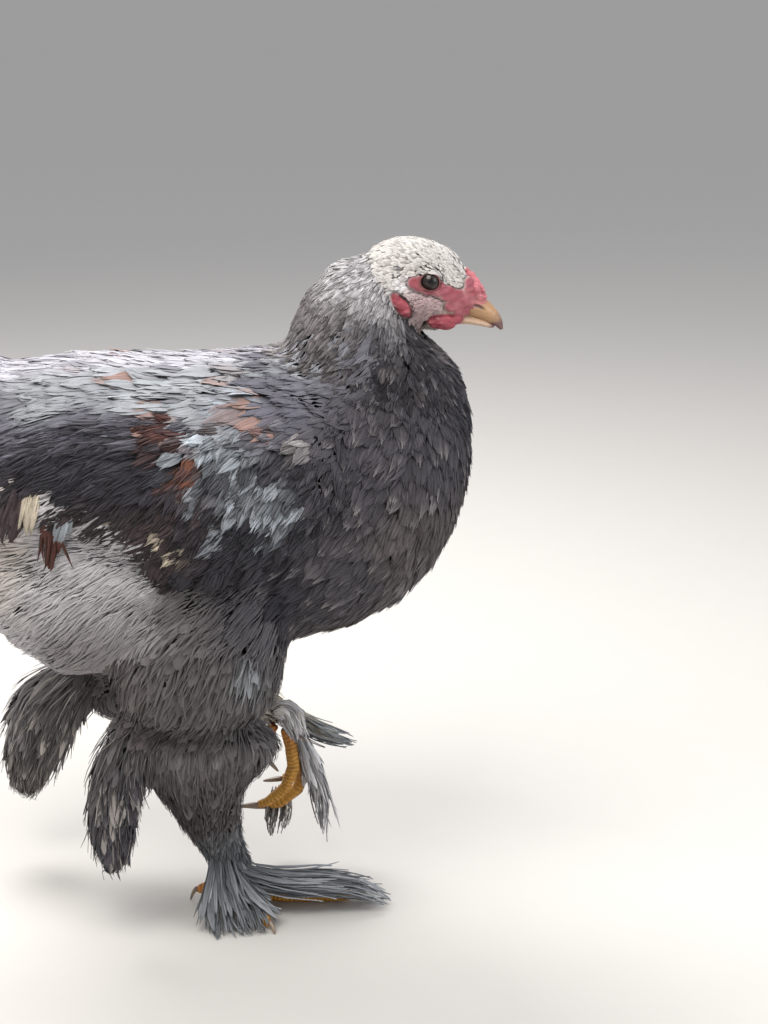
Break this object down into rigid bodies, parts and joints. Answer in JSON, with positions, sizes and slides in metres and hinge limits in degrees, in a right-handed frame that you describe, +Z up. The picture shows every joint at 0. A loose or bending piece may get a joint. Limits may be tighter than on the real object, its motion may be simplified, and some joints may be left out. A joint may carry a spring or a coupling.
{
  "type": "brahma chicken",
  "caption": "Life-size still model of a feather-legged young hen in mid-step, standing on one foot with the other lifted and its tail held up.",
  "frame": {"origin": "on the floor, under the middle of the standing right foot's pad", "axes": "+X is the way the bird faces, +Z is up, and its right side faces -Y"},
  "size_m": [0.405, 0.1982, 0.3953],
  "materials": {
    "plumage_pale": "soft short feathers over flesh",
    "plumage_slate": "soft slate feathers over flesh",
    "plumage_wing": "layered wing feathers",
    "tail_feather": "layered tail feathers",
    "down": "loose fluff",
    "thigh_feather": "fluffy feathers over flesh",
    "leg_feather": "loose feathers",
    "red_skin": "bare matt skin",
    "toe_skin": "scaly skin",
    "horn": "smooth horn",
    "claw": "smooth horn",
    "eye": "wet, glossy"
  },
  "bodies": {
    "root": {"eye_right": "eye", "eye_left": "eye", "earlobe_right": "red_skin", "wattle_right": "red_skin", "earlobe_left": "red_skin", "wattle_left": "red_skin", "comb": "red_skin", "beak_upper": "horn", "beak_lower": "horn", "head": "plumage_pale", "trunk": "plumage_slate", "neck": "plumage_pale", "foot_right": "toe_skin", "foot_left": "toe_skin", "claw_right_1": "claw", "toe_right_1": "toe_skin", "claw_left_1": "claw", "toe_left_1": "toe_skin", "claw_right_2": "claw", "toe_right_2": "toe_skin", "claw_left_2": "claw", "toe_left_2": "toe_skin", "claw_right_3": "claw", "toe_right_3": "toe_skin", "claw_left_3": "claw", "toe_left_3": "toe_skin", "claw_right_4": "claw", "toe_right_4": "toe_skin", "claw_left_4": "claw", "toe_left_4": "toe_skin", "thigh_right": "thigh_feather", "shank_right": "leg_feather", "thigh_left": "thigh_feather", "shank_left": "leg_feather", "hock_feathers_right": "leg_feather", "hock_feathers_left": "leg_feather", "foot_feathers_right_middle": "leg_feather", "foot_feathers_right_outer": "leg_feather", "foot_feathers_left_front": "leg_feather", "foot_feathers_left_hanging": "leg_feather", "foot_feathers_left_under": "leg_feather", "wing_coverts_right": "plumage_wing", "wing_secondaries_right": "plumage_wing", "wing_primaries_right": "plumage_wing", "wing_coverts_left": "plumage_wing", "wing_secondaries_left": "plumage_wing", "wing_primaries_left": "plumage_wing", "tail_coverts": "tail_feather", "tail_right": "tail_feather", "tail_left": "tail_feather", "fluff": "down"}
  },
  "joints": []
}
